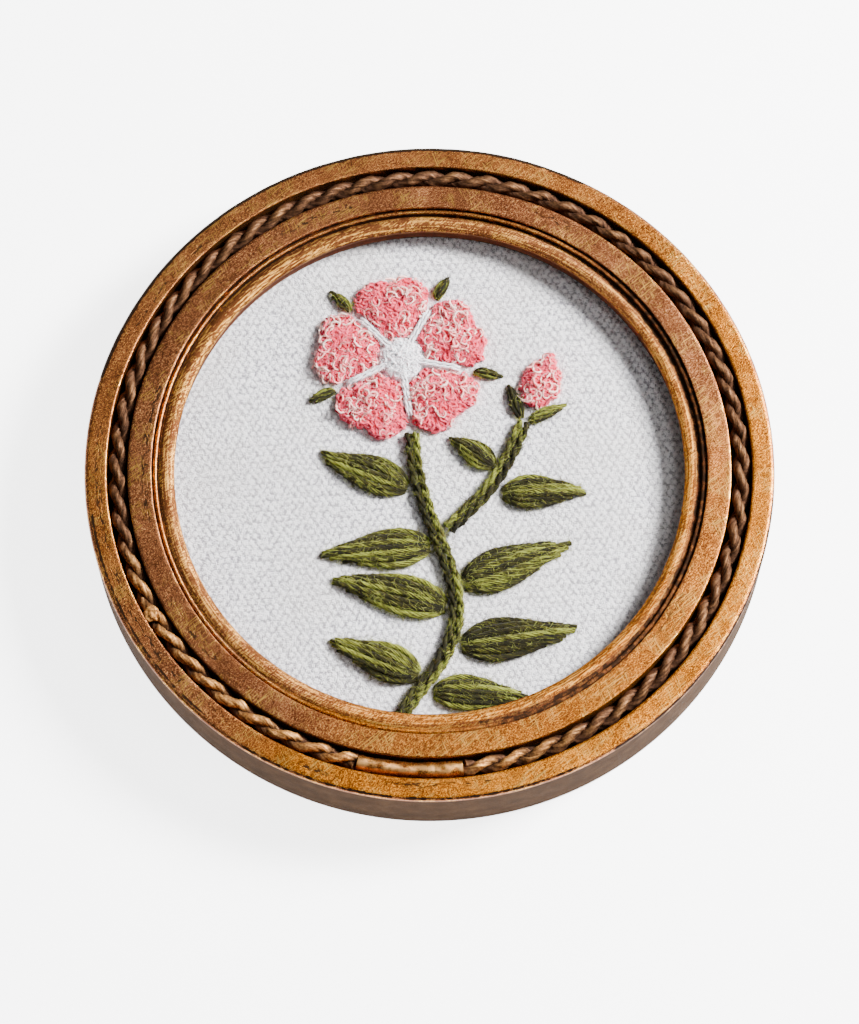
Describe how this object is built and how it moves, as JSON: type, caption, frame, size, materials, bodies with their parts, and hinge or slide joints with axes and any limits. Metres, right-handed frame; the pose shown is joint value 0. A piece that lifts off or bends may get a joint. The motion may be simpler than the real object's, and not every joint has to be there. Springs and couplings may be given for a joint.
{
  "type": "embroidery in round frame",
  "caption": "Small round gilt frame with a twisted cord let into its face, holding stretched off-white cloth worked with a pink looped flower, a bud, stems and leaves.",
  "frame": {"origin": "middle of the frame's back, on the surface it rests on", "axes": "+Z out of the face, +Y to the top of the picture, +X to its right"},
  "size_m": [0.12, 0.12, 0.015],
  "materials": {
    "gilded_wood": "antiqued gold leaf, rubbed and scratched",
    "gilded_cord": "dark bronze gilding, rubbed on top",
    "ground_cloth": "plain weave, matte",
    "backing_board": "plain board, matte",
    "pink_yarn": "looped yarn, matte",
    "white_yarn": "padded yarn, matte",
    "green_yarn": "soft wool, matte"
  },
  "bodies": {
    "root": {"frame_ring": "gilded_wood", "twisted_cord": "gilded_cord", "cord_sleeve": "gilded_cord", "ground_cloth": "ground_cloth", "backing_board": "backing_board", "petal_1": "pink_yarn", "petal_2": "pink_yarn", "petal_3": "pink_yarn", "petal_4": "pink_yarn", "petal_5": "pink_yarn", "bud": "pink_yarn", "white_eye": "white_yarn", "sepal_1": "green_yarn", "sepal_2": "green_yarn", "sepal_3": "green_yarn", "sepal_4": "green_yarn", "main_stem": "green_yarn", "bud_stalk": "green_yarn", "bud_sepal_1": "green_yarn", "bud_sepal_2": "green_yarn", "leaf_1": "green_yarn", "leaf_2": "green_yarn", "leaf_3": "green_yarn", "leaf_4": "green_yarn", "leaf_5": "green_yarn", "leaf_6": "green_yarn", "leaf_7": "green_yarn", "leaf_8": "green_yarn", "leaf_9": "green_yarn"}
  },
  "joints": []
}
